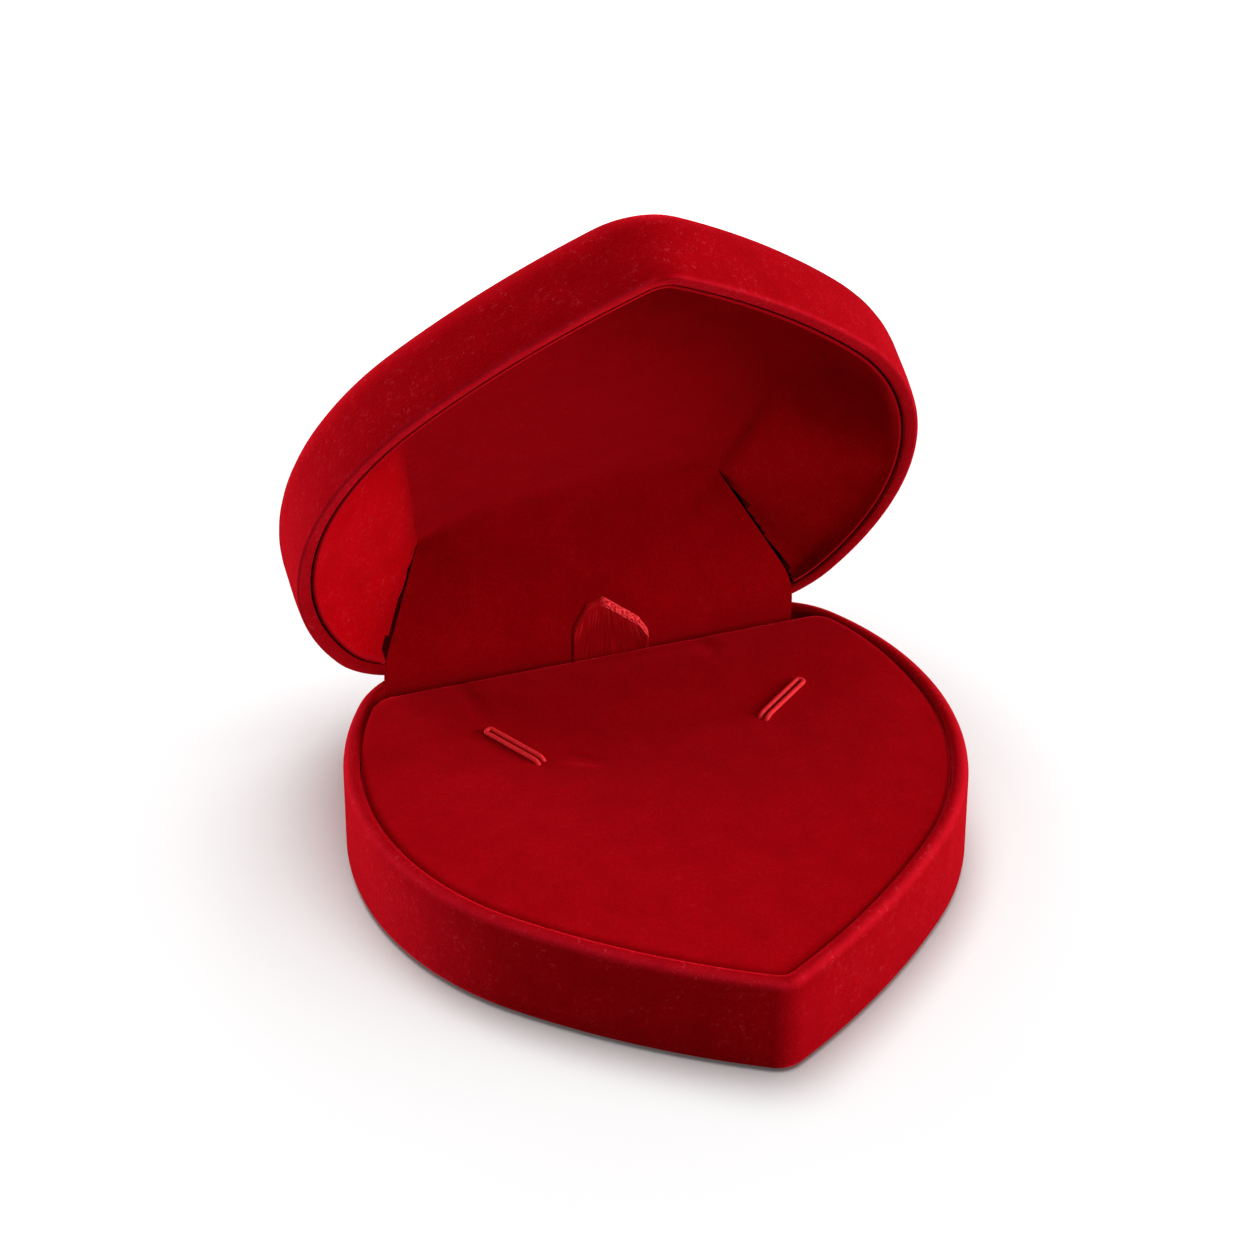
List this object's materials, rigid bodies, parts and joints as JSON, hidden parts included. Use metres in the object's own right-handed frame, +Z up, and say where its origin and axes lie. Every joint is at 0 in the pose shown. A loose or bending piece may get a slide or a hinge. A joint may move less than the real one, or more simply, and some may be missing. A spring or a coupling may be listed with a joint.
{
  "type": "heart-shaped jewellery box",
  "caption": "Hinged heart-shaped velvet gift box, standing open, with a padded necklace insert, elastic chain loops, a ribbon pull tab and a fabric hinge flap.",
  "frame": {"origin": "on the underside of the base, on the centre line, midway between the tip and the hinge", "axes": "+X across the heart, to the right seen from the tip; -Y towards the tip, +Y towards the hinge; +Z up"},
  "size_m": [0.12, 0.1298, 0.1286],
  "materials": {
    "red_velvet": "short-pile red velvet with a soft sheen",
    "red_ribbon": "red grosgrain ribbon with fine cross ribs",
    "loop_cord": "round elastic cord with a satin cover, lighter red",
    "pad_foam": "soft foam sheet",
    "tray_plastic": "moulded dark plastic, hidden under the velvet",
    "grey_card": "grey board",
    "base_card": "dark red paper-faced card",
    "gummed_paper": "gummed brown paper",
    "hinge_steel": "plain stamped steel"
  },
  "bodies": {
    "base": {"base_shell": "tray_plastic", "base_velvet": "red_velvet", "base_bottom_panel": "base_card", "pad_riser": "grey_card", "rear_backing": "grey_card", "hinge_base_leaf": "hinge_steel", "base_rivets": "hinge_steel", "snap_spring": "hinge_steel", "hinge_pin": "hinge_steel", "hinge_flap": "red_velvet"},
    "pad": {"pad_board": "grey_card", "pad_foam": "pad_foam", "pad_velvet": "red_velvet", "chain_loop_left": "loop_cord", "chain_loop_right": "loop_cord", "loop_patches": "gummed_paper", "ribbon_tab": "red_ribbon"},
    "lid": {"lid_shell": "tray_plastic", "lid_velvet": "red_velvet", "lid_lining_card": "grey_card", "lid_lining_velvet": "red_velvet", "hinge_lid_leaf": "hinge_steel", "lid_rivets": "hinge_steel"}
  },
  "joints": [
    {"name": "lid_hinge", "type": "hinge", "parent": "base", "child": "lid", "pos_m": [0, 0.05577, 0.018], "axis": [1, 0, 0], "range_deg": [0, 66], "deforming": ["hinge_flap", "ribbon_tab"]},
    {"name": "pad_lift", "type": "slide", "parent": "base", "child": "pad", "axis": [0, 0, 1], "range_m": [0, 0.008]}
  ]
}
